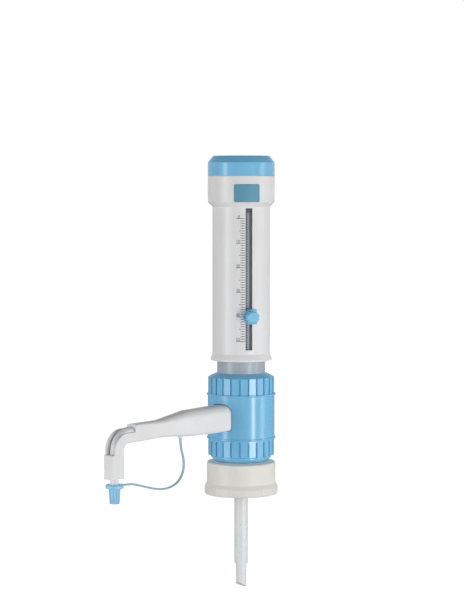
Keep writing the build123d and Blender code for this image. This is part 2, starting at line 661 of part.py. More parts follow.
def pointer():
    """The arrow on the sleeve, with the stem that passes through the slot."""
    half = POINTER_HEIGHT / 2
    arrow = Polyline(
        (-POINTER_TIP, 0),
        (-POINTER_SHOULDER, -half),
        (POINTER_RIGHT, -half),
        (POINTER_RIGHT, half),
        (-POINTER_SHOULDER, half),
        close=True,
    )
    front = SLEEVE_RADIUS + RUNNING + POINTER_THICKNESS
    plane = Plane(origin=(0, -front, POINTER_LEVEL), x_dir=(1, 0, 0), z_dir=(0, -1, 0))
    body = extrude(plane * make_face(arrow), -2 * POINTER_THICKNESS)
    low = POINTER_LEVEL - POINTER_HEIGHT
    high = POINTER_LEVEL + POINTER_HEIGHT
    body -= post(SLEEVE_RADIUS + RUNNING, low, high)
    shoe_front = SLEEVE_BORE - RUNNING
    depth = front - shoe_front - POINTER_THICKNESS / 2
    stem = Pos(stem_centre(), -(shoe_front + depth / 2), POINTER_LEVEL) * Box(STEM_WIDTH, depth, STEM_HEIGHT)
    return at_slot(body + stem - screw_hole(SCREW_RADIUS + FIT))


def screw_hole(radius):
    """A round bar through the pointer and its shoe, square to the sleeve."""
    bar = Rot(90, 0, 0) * post(radius, GUARD_RADIUS, SLEEVE_RADIUS + 2 * POINTER_THICKNESS)
    return Pos(stem_centre(), 0, POINTER_LEVEL) * bar


def pointer_shoe():
    """The plate behind the slot that meets the stop ring at the top of the stroke."""
    outer = SLEEVE_BORE - RUNNING
    shell = ring(outer, outer - SHOE_THICKNESS, POINTER_LEVEL - SHOE_HEIGHT, POINTER_LEVEL + SHOE_HEIGHT)
    block = Pos(stem_centre(), -outer, POINTER_LEVEL) * Box(SHOE_WIDTH, 2 * SHOE_WIDTH, SHOE_HEIGHT)
    return at_slot((shell & block) - screw_hole(SCREW_RADIUS + FIT))


def pointer_knob():
    """The clamping screw: a fluted knob with its shank."""
    front = SLEEVE_RADIUS + RUNNING + POINTER_THICKNESS
    neck_end = front + KNOB_COLLAR
    tip = SLEEVE_BORE - RUNNING - SHOE_THICKNESS + FIT
    knob = post(KNOB_RADIUS, neck_end, neck_end + KNOB_LENGTH)
    knob = chamfer(knob.edges().group_by(Axis.Z)[-1], 1.0)
    flute = Pos(KNOB_RADIUS + 0.35, 0, 0) * post(0.9, neck_end - 1, neck_end + KNOB_LENGTH + 1)
    knob -= [Rot(0, 0, 360 * step / KNOB_FLUTES) * flute for step in range(KNOB_FLUTES)]
    knob += post(2 * SCREW_RADIUS, front + FIT, neck_end)
    knob += post(SCREW_RADIUS, tip, front + 2 * FIT)
    return at_slot(Pos(stem_centre(), 0, POINTER_LEVEL) * Rot(90, 0, 0) * knob)


def tube_path(start, end):
    """The spout tube's line: level along the arm, then a round bend down to the nozzle."""
    return FilletPolyline(
        (-start, 0, SPOUT_AXIS),
        (-NOZZLE_REACH, 0, SPOUT_AXIS),
        (-NOZZLE_REACH, 0, end),
        radius=TUBE_BEND,
    )


def tube_body(radius, start, end):
    """A round bar along the spout tube's line."""
    plane = Plane(origin=(-start, 0, SPOUT_AXIS), z_dir=(-1, 0, 0))
    return sweep(plane * Circle(radius), path=tube_path(start, end))


def side_outline(points):
    """A face in the spout's upright plane from points of reach and height."""
    plane = Plane(origin=(0, 0, 0), x_dir=(-1, 0, 0), z_dir=(0, 1, 0))
    return plane * make_face(Polyline(*points, close=True))


def elbow():
    """The housing's bend, cut from one side outline, with the boot round the nozzle below it."""
    foot = BOOT_TOP - BOOT_WIDTH / 2
    front = NOZZLE_REACH + CHEEK_FRONT
    rear = BOOT_REAR + RUNNING
    outline = side_outline(
        [
            (ARM_END, CHEEK_TOP),
            (WINDOW_START, CHEEK_TOP),
            (front, CHEEK_TOP - CHEEK_SLOPE),
            (front, foot),
            (rear, foot),
            (rear, SPOUT_BOTTOM),
            (ARM_END, SPOUT_BOTTOM),
        ]
    )
    outer = outline.vertices().sort_by_distance((-front, 0, CHEEK_TOP))[0]
    outline = fillet(outer, ELBOW_OUTER)
    inner = outline.vertices().sort_by_distance((-rear, 0, SPOUT_BOTTOM))[0]
    outline = fillet(inner, ELBOW_INNER)
    body = extrude(outline, SPOUT_WIDTH / 2, both=True)
    sides = body.edges().filter_by_position(Axis.Y, -SPOUT_WIDTH / 2, -SPOUT_WIDTH / 2)
    sides += body.edges().filter_by_position(Axis.Y, SPOUT_WIDTH / 2, SPOUT_WIDTH / 2)
    long_edges = [edge for edge in sides if edge.center().X < -ARM_END - 1 and edge.center().Z > foot + 1]
    body = fillet(long_edges, SPOUT_EDGE)
    centre = Pos(-(BOOT_REAR + BOOT_FRONT) / 2, 0, (BOOT_BOTTOM + BOOT_TOP) / 2)
    boot = centre * Box(BOOT_LENGTH, BOOT_WIDTH, BOOT_TOP - BOOT_BOTTOM)
    boot = fillet(boot.edges().filter_by(Axis.Z), SPOUT_EDGE)
    boot = chamfer(boot.edges().group_by(Axis.Z)[-1], SPOUT_EDGE / 3)
    straight = extrude(spout_section(SPOUT_STATIONS[-1]), WINDOW_START - ARM_END)
    return body + boot + straight


def bend_cutter(front, level, bend, foot):
    """The side outline of what lies outside a bend line, from the window's start to the boot."""
    beyond = BOOT_FRONT + 5
    outline = side_outline(
        [
            (WINDOW_START, level),
            (WINDOW_START, SPOUT_TOP + 5),
            (beyond, SPOUT_TOP + 5),
            (beyond, foot),
            (front, foot),
            (front, level),
        ]
    )
    corner = outline.vertices().sort_by_distance((-front, 0, level))[0]
    return fillet(corner, bend)


def window():
    """The opening over the tube in the bend, with the cheek on the -Y side cut low."""
    channel = bend_cutter(NOZZLE_REACH, SPOUT_AXIS, TUBE_BEND, BOOT_TOP)
    cheek = bend_cutter(NOZZLE_REACH + NEAR_CHEEK_FRONT, NEAR_CHEEK_TOP, NEAR_CHEEK_BEND, BOOT_TOP)
    low_side = Pos(0, -BOOT_WIDTH / 2, 0) * extrude(cheek, BOOT_WIDTH / 2, both=True)
    return extrude(channel, CHANNEL_RADIUS, both=True) + low_side


def spout_housing():
    arm = loft([spout_section(station) for station in SPOUT_STATIONS], ruled=True)
    body = arm + elbow()
    inner = [spout_section(station, grow=-SPOUT_WALL) for station in SPOUT_STATIONS[:-1]]
    hollow = loft(inner, ruled=True)
    mouth = extrude(spout_section(SPOUT_STATIONS[0], grow=-SPOUT_WALL), -1)
    body = body - hollow - mouth
    body -= tube_body(CHANNEL_RADIUS, SPOUT_STATIONS[-2][0] - 5, BOOT_BOTTOM - 1)
    body -= window()
    boss_top = SPOUT_HAUNCH_BOTTOM + 2 * SPOUT_WALL
    boss = Pos(-STRAP_EXIT_REACH, 0, 0) * post(STRAP_BOSS_RADIUS, STRAP_EXIT_LEVEL, boss_top)
    return body + boss


def spout_tube():
    outer = tube_body(TUBE_RADIUS, TUBE_START, TUBE_TIP)
    return outer - tube_body(TUBE_BORE, TUBE_START, TUBE_TIP)


def nozzle_cap():
    flange_bottom = NOZZLE_CAP_TOP - NOZZLE_CAP_FLANGE
    skirt = turned(
        [
            (0, NOZZLE_CAP_BOTTOM),
            (NOZZLE_CAP_TIP_RADIUS, NOZZLE_CAP_BOTTOM),
            (NOZZLE_CAP_RADIUS, flange_bottom),
            (0, flange_bottom),
        ]
    )
    reach = NOZZLE_CAP_RADIUS + 1
    gap = pi * NOZZLE_CAP_TIP_RADIUS / NOZZLE_CAP_RIBS
    slope = degrees(atan2(NOZZLE_CAP_RADIUS - NOZZLE_CAP_TIP_RADIUS, flange_bottom - NOZZLE_CAP_BOTTOM))
    bar_height = 2 * (flange_bottom - NOZZLE_CAP_BOTTOM)
    bar = Pos(1, 0, 0) * Box(2, gap, bar_height)
    bar = Pos(NOZZLE_CAP_RADIUS - NOZZLE_CAP_RIB_DEPTH, 0, flange_bottom - 0.6) * Rot(0, slope, 0) * bar
    bar -= post(reach + 2, flange_bottom - 0.6, flange_bottom + bar_height)
    skirt -= [Rot(0, 0, 360 * step / NOZZLE_CAP_RIBS) * bar for step in range(NOZZLE_CAP_RIBS)]
    flange = post(NOZZLE_CAP_FLANGE_RADIUS, flange_bottom, NOZZLE_CAP_TOP)
    flange = chamfer(flange.edges().filter_by(GeomType.CIRCLE), 0.5)
    lug_length = LUG_LENGTH + 2
    lug_centre = NOZZLE_REACH - LUG_REACH - lug_length / 2
    lug = Pos(lug_centre, 0, STRAP_LEVEL) * Box(lug_length, LUG_WIDTH, LUG_HEIGHT)
    body = skirt + flange + lug - post(TUBE_RADIUS + FIT, TUBE_TIP - CAP_END_GAP, NOZZLE_CAP_TOP + 1)
    return Pos(-NOZZLE_REACH, 0, 0) * body


def cap_strap():
    """The strap: straight runs joined by arcs as large as the runs allow."""
    points = [(-reach, 0.0, height) for reach, height in STRAP_ROUTE]
    radii = []
    for before, here, after in zip(points, points[1:], points[2:]):
        first = Vector(*here) - Vector(*before)
        second = Vector(*after) - Vector(*here)
        half_turn = radians(first.get_angle(second)) / 2
        radii.append(0.45 * min(first.length, second.length) / tan(half_turn))
    path = FilletPolyline(*points, radius=radii)
    direction = Vector(*points[1]) - Vector(*points[0])
    plane = Plane(origin=points[0], z_dir=direction)
    strap = sweep(plane * Circle(STRAP_RADIUS), path=path)
    length = sum(edge.length for edge in path.edges())
    expected = length * pi * STRAP_RADIUS**2
    print("strap radii", [round(radius, 1) for radius in radii])
    print("strap length", round(length, 1))
    print("strap volume over section times length", round(strap.volume / expected, 4))
    return strap


def filling_valve_body():
    cavity_floor = FILLING_SEAT_TOP - FILLING_SEAT
    outline = [
        (NIPPLE_BORE, NIPPLE_BOTTOM),
        (NIPPLE_RADIUS - 0.5, NIPPLE_BOTTOM),
        (NIPPLE_RADIUS, NIPPLE_BOTTOM + NIPPLE_BARB),
        (NIPPLE_RADIUS, NIPPLE_TOP),
        (NIPPLE_SHOULDER, NIPPLE_TOP),
        (NIPPLE_SHOULDER, FILLING_FLANGE_BOTTOM),
        (FILLING_FLANGE_RADIUS, FILLING_FLANGE_BOTTOM),
        (FILLING_FLANGE_RADIUS, FILLING_FLANGE_BOTTOM + FILLING_FLANGE),
        (FILLING_BODY_RADIUS, FILLING_FLANGE_BOTTOM + FILLING_FLANGE),
        (FILLING_BODY_RADIUS, FILLING_TOP),
        (FILLING_CAVITY, FILLING_TOP),
        (FILLING_CAVITY, cavity_floor),
        (NIPPLE_BORE, cavity_floor),
    ]
    return turned(outline)


def filling_valve_gasket():
    low = BLOCK_BASE - ADAPTER_SEAL_THICKNESS
    return ring(FILLING_FLANGE_RADIUS, FILLING_BODY_RADIUS + FIT, low, BLOCK_BASE)


def filling_valve_seat():
    return ring(FILLING_CAVITY - FIT, FILLING_SEAT_BORE, FILLING_SEAT_TOP - FILLING_SEAT, FILLING_SEAT_TOP)


def filling_valve_ball():
    return Pos(0, 0, FILLING_BALL_LEVEL + FIT) * Sphere(FILLING_BALL_RADIUS)


def ball_retainer():
    """A disc above the ball, with three ports round its middle."""
    top = RETAINER_BOTTOM + RETAINER
    disc = post(FILLING_CAVITY - FIT, RETAINER_BOTTOM, top)
    port_place = Pos(FILLING_CAVITY - RETAINER_PORT - PORT_EDGE, 0, 0)
    port = port_place * post(RETAINER_PORT, RETAINER_BOTTOM - 1, top + 1)
    return disc - [Rot(0, 0, 120 * step) * port for step in range(3)]


def discharge_valve_body():
    flange_start = SPOUT_RECESS + ADAPTER_SEAL_THICKNESS
    outline = [
        (DISCHARGE_SEAT_BORE, DISCHARGE_START),
        (DISCHARGE_RADIUS, DISCHARGE_START),
        (DISCHARGE_RADIUS, flange_start),
        (DISCHARGE_FLANGE_RADIUS, flange_start),
        (DISCHARGE_FLANGE_RADIUS, flange_start + DISCHARGE_FLANGE),
        (DISCHARGE_RADIUS, flange_start + DISCHARGE_FLANGE),
        (DISCHARGE_RADIUS, DISCHARGE_END),
        (TUBE_RADIUS + FIT, DISCHARGE_END),
        (TUBE_RADIUS + FIT, TUBE_START),
        (TUBE_BORE - 0.6, TUBE_START),
        (TUBE_BORE - 0.6, DISCHARGE_CAVITY_END),
        (DISCHARGE_CAVITY, DISCHARGE_CAVITY_END),
        (DISCHARGE_CAVITY, DISCHARGE_SEAT_END - DISCHARGE_SEAT),
        (DISCHARGE_SEAT_BORE, DISCHARGE_SEAT_END - DISCHARGE_SEAT),
    ]
    return along_spout(turned(outline))


def discharge_valve_gasket():
    high = SPOUT_RECESS + ADAPTER_SEAL_THICKNESS
    return along_spout(ring(DISCHARGE_FLANGE_RADIUS, DISCHARGE_RADIUS + FIT, SPOUT_RECESS, high))


def discharge_valve_seat():
    low = DISCHARGE_SEAT_END - DISCHARGE_SEAT
    return along_spout(ring(DISCHARGE_CAVITY - FIT, DISCHARGE_SEAT_BORE, low, DISCHARGE_SEAT_END))


def discharge_valve_ball():
    return Pos(-DISCHARGE_BALL_REACH - FIT, 0, SPOUT_AXIS) * Sphere(DISCHARGE_BALL_RADIUS)


def discharge_valve_spring():
    start = DISCHARGE_BALL_REACH + sqrt(DISCHARGE_BALL_RADIUS**2 - SPRING_RADIUS**2) + 2 * SPRING_WIRE
    height = DISCHARGE_CAVITY_END - SPRING_WIRE - start
    path = Pos(0, 0, start) * Helix(height / SPRING_TURNS, height, SPRING_RADIUS)
    section = Plane(origin=path @ 0, z_dir=path % 0) * Circle(SPRING_WIRE)
    return along_spout(sweep(section, path=path, is_frenet=True))


def suction_tube_upper():
    top = NIPPLE_TOP
    return ring(UPPER_TUBE_RADIUS, NIPPLE_RADIUS + FIT, top - UPPER_TUBE_LENGTH, top)


def suction_tube_lower():
    """The inner tube, cut aslant at its tip so that it can't seal on the bottle's floor."""
    radius = NIPPLE_RADIUS + FIT - SLIDING
    tube = ring(radius, radius - LOWER_TUBE_WALL, LOWER_TUBE_BOTTOM, LOWER_TUBE_TOP)
    angle = degrees(atan2(TUBE_TIP_CUT, 2 * radius))
    middle = LOWER_TUBE_BOTTOM + TUBE_TIP_CUT / 2
    wedge = Pos(0, 0, middle) * Rot(0, angle, 0) * post(4 * radius, -4 * radius, 0)
    return tube - wedge


SUBPARTS = [
    bottle_adapter,
    adapter_seal,
    lower_collar,
    valve_block,
    upper_collar,
    cylinder_gasket,
    glass_cylinder,
    cylinder_guard,
    stroke_stop_ring,
    piston,
    piston_seal,
    piston_rod,
    rod_washer,
    rod_nut,
    outer_sleeve,
    range_plate,
    top_cap,
    toothed_rack,
    pointer,
    pointer_shoe,
    pointer_knob,
    spout_housing,
    spout_tube,
    nozzle_cap,
    cap_strap,
    filling_valve_body,
    filling_valve_gasket,
    filling_valve_seat,
    filling_valve_ball,
    ball_retainer,
    discharge_valve_body,
    discharge_valve_gasket,
    discharge_valve_seat,
    discharge_valve_ball,
    discharge_valve_spring,
    suction_tube_upper,
    suction_tube_lower,
]

os.makedirs("parts", exist_ok=True)
for make in SUBPARTS:
    export_step(make(), f"parts/{make.__name__}.step")
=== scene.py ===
"""Dresses a bottle-top dispenser: plastics, glass and steel, printed scale, strap and studio."""

import math

import bmesh
import bpy
from bpy.props import FloatProperty, FloatVectorProperty, IntProperty, PointerProperty
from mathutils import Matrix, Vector


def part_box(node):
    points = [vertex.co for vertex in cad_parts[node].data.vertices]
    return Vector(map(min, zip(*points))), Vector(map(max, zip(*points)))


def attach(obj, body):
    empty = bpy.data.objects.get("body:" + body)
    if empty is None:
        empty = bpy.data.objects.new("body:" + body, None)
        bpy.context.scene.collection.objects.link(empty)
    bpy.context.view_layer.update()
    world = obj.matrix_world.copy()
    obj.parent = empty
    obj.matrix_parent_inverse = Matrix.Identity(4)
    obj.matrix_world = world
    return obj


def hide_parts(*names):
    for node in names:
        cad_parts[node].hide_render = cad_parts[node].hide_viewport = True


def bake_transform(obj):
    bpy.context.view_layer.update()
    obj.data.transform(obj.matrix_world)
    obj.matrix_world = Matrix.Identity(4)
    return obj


bl_info = {
    "name": "Bottle-top dispenser",
    "version": (1, 0, 0),
    "blender": (4, 5, 0),
    "location": "3D View > Sidebar > Dispenser",
    "description": "Finishes, scale print, strap and studio for a bottle-top dispenser",
    "category": "Object",
}

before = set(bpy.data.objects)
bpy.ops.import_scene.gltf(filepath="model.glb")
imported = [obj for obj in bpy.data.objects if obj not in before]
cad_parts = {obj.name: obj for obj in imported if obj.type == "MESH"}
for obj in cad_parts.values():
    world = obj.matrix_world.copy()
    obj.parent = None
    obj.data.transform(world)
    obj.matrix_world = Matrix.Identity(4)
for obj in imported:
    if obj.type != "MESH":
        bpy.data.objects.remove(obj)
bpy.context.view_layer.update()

MM = 0.001
SAME_LEVEL = 1e-5


def srgb(text):
    """A hex colour such as #7ABADD as linear red, green and blue."""
    channels = [int(text[place : place + 2], 16) / 255 for place in (1, 3, 5)]
    return [c / 12.92 if c <= 0.04045 else ((c + 0.055) / 1.055) ** 2.4 for c in channels]


def node_centre(node):
    """The middle of a node's box."""
    low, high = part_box(node)
    return (low + high) / 2


def radius_of(node, height, pick=max):
    """The largest or smallest distance from the axis of a node's points near a height."""
    points = [v.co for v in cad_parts[node].data.vertices]
    nearest = min(abs(p.z - height) for p in points)
    return pick(math.hypot(p.x, p.y) for p in points if abs(p.z - height) <= nearest + SAME_LEVEL)


def colour_property(name, description, text):
    """A colour setting with its default as a hex colour."""
    return FloatVectorProperty(
        name=name, description=description, default=srgb(text), size=3, min=0, max=1, subtype="COLOR"
    )


def length_property(name, description, millimetres):
    """A size setting with its default in millimetres."""
    return FloatProperty(
        name=name, description=description, default=millimetres * MM, min=0, precision=5, unit="LENGTH"
    )


class PlasticColours(bpy.types.PropertyGroup):
    """Colours of the dispenser's plastics, glass and steel."""

    shell_white: colour_property("Shell white", "Moulded sleeve and spout housing", "#E9E9EA")
    adapter_white: colour_property("Adapter white", "Bottle adapter, a warmer white", "#E9E8E2")
    body_blue: colour_property("Body blue", "Valve block, collars, cap and pointer", "#7CC3EA")
    nozzle_blue: colour_property("Nozzle cap blue", "Nozzle cap, a paler blue", "#98D2F2")
    plate_blue: colour_property("Plate blue", "Plate let into the head", "#5E9DB8")
    guard_grey: colour_property("Guard grey", "Frosted guard round the cylinder", "#CBD5DE")
    tube_grey: colour_property("Tube grey", "Spout and suction tubes", "#F1F3F4")
    strap_blue: colour_property("Strap blue", "Soft cord that holds the nozzle cap", "#9FBFCC")
    rack_grey: colour_property("Rack grey", "Toothed rack, shoe and stop ring", "#5B5D66")
    seal_black: colour_property("Seal black", "Gaskets", "#1D1E20")
    fluoropolymer: colour_property("Fluoropolymer", "Piston and valve bodies", "#F0EFEA")
    ink: colour_property("Ink", "Printed scale", "#4A4D54")


class ScaleSizes(bpy.types.PropertyGroup):
    """Sizes of the printed volume scale."""

    full_volume: IntProperty(name="Full volume", description="Last division of the scale", default=50, min=1)
    set_volume: IntProperty(
        name="Set volume", description="Division that the pointer stands at", default=40, min=0
    )
    edge_gap: length_property("Edge gap", "From the slot's middle to the ticks' ends", 3.2)
    short_tick: length_property("Short tick", "Length of a single division's tick", 3.05)
    middle_tick: length_property("Middle tick", "Length of every fifth tick", 4.1)
    long_tick: length_property("Long tick", "Length of every tenth tick", 6.2)
    line_width: length_property("Line width", "Thickness of a printed line", 0.42)
    number_height: length_property("Number height", "Height of a printed number", 2.1)
    film: length_property("Film", "How far the ink stands off the sleeve", 0.03)
    slot_turn: FloatProperty(
        name="Slot turn",
        description="Angle of the slot round the axis, from -Y towards the spout",
        default=math.radians(34.1),
        subtype="ANGLE",
    )


class StrapSizes(bpy.types.PropertyGroup):
    """Sizes of the nozzle cap's strap."""

    width: length_property("Width", "Width of the flat strap", 2.2)
    thickness: length_property("Thickness", "Thickness of the flat strap", 1.4)


class StudioSettings(bpy.types.PropertyGroup):
    """Camera, floor and lights."""

    camera_turn: FloatProperty(
        name="Camera turn",
        description="Where the camera stands round the axis; zero looks along +Y",
        default=math.radians(-50),
        subtype="ANGLE",
    )
    camera_distance: length_property("Camera distance", "From the axis to the camera", 1500)
    eye_height: length_property("Eye height", "Camera height above the bottle's mouth", 212.5)
    look_down: FloatProperty(
        name="Look down", description="How far the camera tips", default=math.radians(3.45), subtype="ANGLE"
    )
    look_left: FloatProperty(
        name="Look left",
        description="How far the camera turns off the axis",
        default=math.radians(0.256),
        subtype="ANGLE",
    )
    lens: FloatProperty(name="Lens", description="Focal length in millimetres", default=123.3)
    floor_drop: length_property("Floor drop", "From the bottle's mouth down to the floor", 235)
    floor_grey: FloatProperty(name="Floor grey", description="How pale the floor's paper is", default=0.86)
    floor_glow: FloatProperty(
        name="Floor glow", description="Light added to the floor where the camera sees it", default=0.85
    )
    world_strength: FloatProperty(
        name="World strength", description="Light of the white surroundings on the object", default=0.98
    )
    overhead_share: FloatProperty(
        name="Overhead share", description="Share of that light that comes from above", default=0.12
    )
    overhead_start: FloatProperty(
        name="Overhead start", description="Sine of the angle above which that share is reached", default=0.7
    )


def settings(name):
    """One of this file's groups of settings."""
    return getattr(bpy.context.scene, name)


def add_node(tree, kind, values=None, links=None, **options):
    """Add a node with its options and input values, and link earlier sockets to its inputs."""
    node = tree.nodes.new(kind)
    for name, value in options.items():
        setattr(node, name, value)
    for name, value in (values or {}).items():
        node.inputs[name].default_value = value
    for name, socket in (links or {}).items():
        tree.links.new(socket, node.inputs[name])
    return node


def new_material(name):
    """An empty node material with its output, as the material, its tree and the output node."""
    material = bpy.data.materials.new(name)
    material.use_nodes = True
    tree = material.node_tree
    tree.nodes.clear()
    output = add_node(tree, "ShaderNodeOutputMaterial")
    return material, tree, output


def per_metre(millimetres):
    """A noise scale whose features are about this many millimetres across, on object coordinates."""
    return 1 / (millimetres * MM)


def moulded(name, colour, roughness, grain=0.9, depth=0.004, cloud=14.0, tint=0.03, **sockets):
    """Injection-moulded plastic: an even colour with slow flow clouds, and the fine spark-eroded skin of
    its mould, which breaks up the gloss. The grain is drawn coarser than the real 0.1 mm so that it shows."""
    uneven_gloss = 0.05
    material, tree, output = new_material(name)
    place = add_node(tree, "ShaderNodeTexCoord")
    flow = add_node(
        tree,
        "ShaderNodeTexNoise",
        {"Scale": per_metre(cloud), "Detail": 3.0, "Roughness": 0.5},
        {"Vector": place.outputs["Object"]},
    )
    skin = add_node(
        tree,
        "ShaderNodeTexNoise",
        {"Scale": per_metre(grain), "Detail": 4.0, "Roughness": 0.6},
        {"Vector": place.outputs["Object"]},
    )
    deep = [channel * (1 - tint) for channel in colour]
    pale = [min(1.0, channel * (1 + tint)) for channel in colour]
    tone = add_node(tree, "ShaderNodeMix", {}, {"Factor": flow.outputs["Fac"]}, data_type="RGBA")
    tone.inputs["A"].default_value = (*deep, 1)
    tone.inputs["B"].default_value = (*pale, 1)
    gloss = add_node(
        tree,
        "ShaderNodeMapRange",
        {
            "From Min": 0.3,
            "From Max": 0.7,
            "To Min": roughness - uneven_gloss,
            "To Max": roughness + uneven_gloss,
        },
        {"Value": skin.outputs["Fac"]},
    )
    relief = add_node(
        tree,
        "ShaderNodeBump",
        {"Strength": 0.35, "Distance": depth * MM},
        {"Height": skin.outputs["Fac"]},
    )
    shader = add_node(
        tree,
        "ShaderNodeBsdfPrincipled",
        {"IOR": 1.49, **sockets},
        {
            "Base Color": tone.outputs["Result"],
            "Roughness": gloss.outputs["Result"],
            "Normal": relief.outputs["Normal"],
        },
    )
    tree.links.new(shader.outputs["BSDF"], output.inputs["Surface"])
    return material


def turned_steel(name, colour):
    """Turned stainless steel: fine rings round the work, left by the tool, that stretch the highlights."""
    material, tree, output = new_material(name)
    place = add_node(tree, "ShaderNodeTexCoord")
    rings = add_node(
        tree,
        "ShaderNodeTexWave",
        {"Scale": per_metre(2.5), "Distortion": 0.6, "Detail": 2.0},
        {"Vector": place.outputs["Object"]},
        wave_type="BANDS",
        bands_direction="Z",
    )
    gloss = add_node(
        tree, "ShaderNodeMapRange", {"To Min": 0.22, "To Max": 0.36}, {"Value": rings.outputs["Fac"]}
    )
    relief = add_node(
        tree, "ShaderNodeBump", {"Strength": 0.2, "Distance": 0.01 * MM}, {"Height": rings.outputs["Fac"]}
    )
    shader = add_node(
        tree,
        "ShaderNodeBsdfPrincipled",
        {"Base Color": (*colour, 1), "Metallic": 1.0},
        {"Roughness": gloss.outputs["Result"], "Normal": relief.outputs["Normal"]},
    )
    tree.links.new(shader.outputs["BSDF"], output.inputs["Surface"])
    return material


def finish_nodes(names, material):
    """Give CAD nodes a finish."""
    for name in names:
        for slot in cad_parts[name].material_slots:
            slot.material = material


class DISPENSER_OT_white_shells(bpy.types.Operator):
    """Finish the white sleeve, spout housing and bottle adapter"""

    bl_idname = "dispenser.white_shells"
    bl_label = "White shells"

    def execute(self, context):
        colours = settings("plastic_colours")
        shell = moulded("Polypropylene_white_moulded", colours.shell_white, 0.36)
        finish_nodes(["outer_sleeve", "spout_housing"], shell)
        adapter = moulded("Polypropylene_natural_moulded", colours.adapter_white, 0.48)
        finish_nodes(["bottle_adapter"], adapter)
        return {"FINISHED"}


class DISPENSER_OT_blue_parts(bpy.types.Operator):
    """Finish the blue block, collars, caps, pointer and plate"""

    bl_idname = "dispenser.blue_parts"
    bl_label = "Blue parts"

    def execute(self, context):
        colours = settings("plastic_colours")
        blue = moulded("Polypropylene_light_blue_moulded", colours.body_blue, 0.25)
        names = ["valve_block", "upper_collar", "lower_collar", "top_cap", "pointer", "pointer_knob"]
        finish_nodes(names, blue)
        pale = moulded("Polypropylene_pale_blue_moulded", colours.nozzle_blue, 0.3)
        finish_nodes(["nozzle_cap"], pale)
        plate = moulded("Polypropylene_blue_plate_moulded", colours.plate_blue, 0.42)
        finish_nodes(["range_plate"], plate)
        return {"FINISHED"}


class DISPENSER_OT_clear_parts(bpy.types.Operator):
    """Finish the guard, the glass cylinder and the tubes"""

    bl_idname = "dispenser.clear_parts"
    bl_label = "Clear parts"

    def execute(self, context):
        colours = settings("plastic_colours")
        guard = moulded(
            "Polypropylene_translucent_grey", colours.guard_grey, 0.34, **{"Transmission Weight": 0.35}
        )
        finish_nodes(["cylinder_guard"], guard)
        tube = moulded(
            "Fluoropolymer_tube_extruded",
            colours.tube_grey,
            0.3,
            depth=0.0006,
            tint=0.015,
            **{"Transmission Weight": 0.12},
        )
        finish_nodes(["spout_tube", "suction_tube_upper", "suction_tube_lower"], tube)
        glass = moulded(
            "Borosilicate_glass_ground",
            srgb("#F2F6F7"),
            0.12,
            depth=0.001,
            tint=0.0,
            **{"Transmission Weight": 1.0},
        )
        finish_nodes(["glass_cylinder"], glass)
        return {"FINISHED"}


class DISPENSER_OT_inner_works(bpy.types.Operator):
    """Finish the piston, rod, valves, seals and rack"""

    bl_idname = "dispenser.inner_works"
    bl_label = "Inner works"

    def execute(self, context):
        colours = settings("plastic_colours")
        fluoropolymer = moulded("Fluoropolymer_white_turned", colours.fluoropolymer, 0.4)
        names = ["piston", "piston_seal", "filling_valve_body", "filling_valve_seat", "ball_retainer"]
        finish_nodes(names + ["discharge_valve_body", "discharge_valve_seat"], fluoropolymer)
        dark = moulded("Acetal_dark_grey_moulded", colours.rack_grey, 0.5)
        finish_nodes(["toothed_rack", "pointer_shoe", "stroke_stop_ring"], dark)
        rubber = moulded("Rubber_black_pressed", colours.seal_black, 0.62)
        names = ["adapter_seal", "cylinder_gasket", "filling_valve_gasket", "discharge_valve_gasket"]
        finish_nodes(names, rubber)
        steel = turned_steel("Stainless_steel_turned", srgb("#C2C4C6"))
        finish_nodes(["piston_rod", "rod_washer", "rod_nut", "discharge_valve_spring"], steel)
        ball = moulded("Borosilicate_glass_polished", srgb("#DCE6E8"), 0.08, depth=0.0, tint=0.0)
        finish_nodes(["filling_valve_ball", "discharge_valve_ball"], ball)
        return {"FINISHED"}


def printed_ink(name, colour):
    """Pad-printed ink: a thin matt film, slightly uneven where the pad lifted, duller than the plastic."""
    return moulded(name, colour, 0.6, grain=0.4, depth=0.003, cloud=3.0, tint=0.08)


def new_piece(name, mesh, material):
    """Link a mesh as a piece with its finish."""
    mesh.materials.clear()
    mesh.materials.append(material)
    piece = bpy.data.objects.new(name, mesh)
    bpy.context.scene.collection.objects.link(piece)
    return piece


def mesh_of_curve(curve):
    """The mesh that a curve makes; the curve is dropped."""
    holder = bpy.data.objects.new(curve.name, curve)
    bpy.context.scene.collection.objects.link(holder)
    bpy.context.view_layer.update()
    mesh = bpy.data.meshes.new_from_object(holder.evaluated_get(bpy.context.evaluated_depsgraph_get()))
    bpy.data.objects.remove(holder)
    bpy.data.curves.remove(curve)
    return mesh


def skin_rings(bm, rings):
    """Join equal rings of vertices, one after the other, into a closed skin with a face at each end."""
    count = len(rings[0])
    for ring, following in zip(rings, rings[1:]):
        for side in range(count):
            beside = (side + 1) % count
            bm.faces.new([ring[side], following[side], following[beside], ring[beside]])
    bm.faces.new(reversed(rings[0]))
    bm.faces.new(rings[-1])


def on_sleeve(across, up, out, turn):
    """A point on the sleeve from its place across and up the print and its distance from the axis."""
    angle = turn - across / out
    return Vector((-out * math.sin(angle), -out * math.cos(angle), up))


def add_printed_bar(bm, low, high, radius, film, turn):
    """A closed thin bar that follows the sleeve, between two corners across and up the print."""
    steps = 8
    rows = []
    for step in range(steps + 1):
        across = low[0] + (high[0] - low[0]) * step / steps
        corners = [(low[1], radius), (low[1], radius + film), (high[1], radius + film), (high[1], radius)]
        rows.append([bm.verts.new(on_sleeve(across, up, out, turn)) for up, out in corners])
    skin_rings(bm, rows)


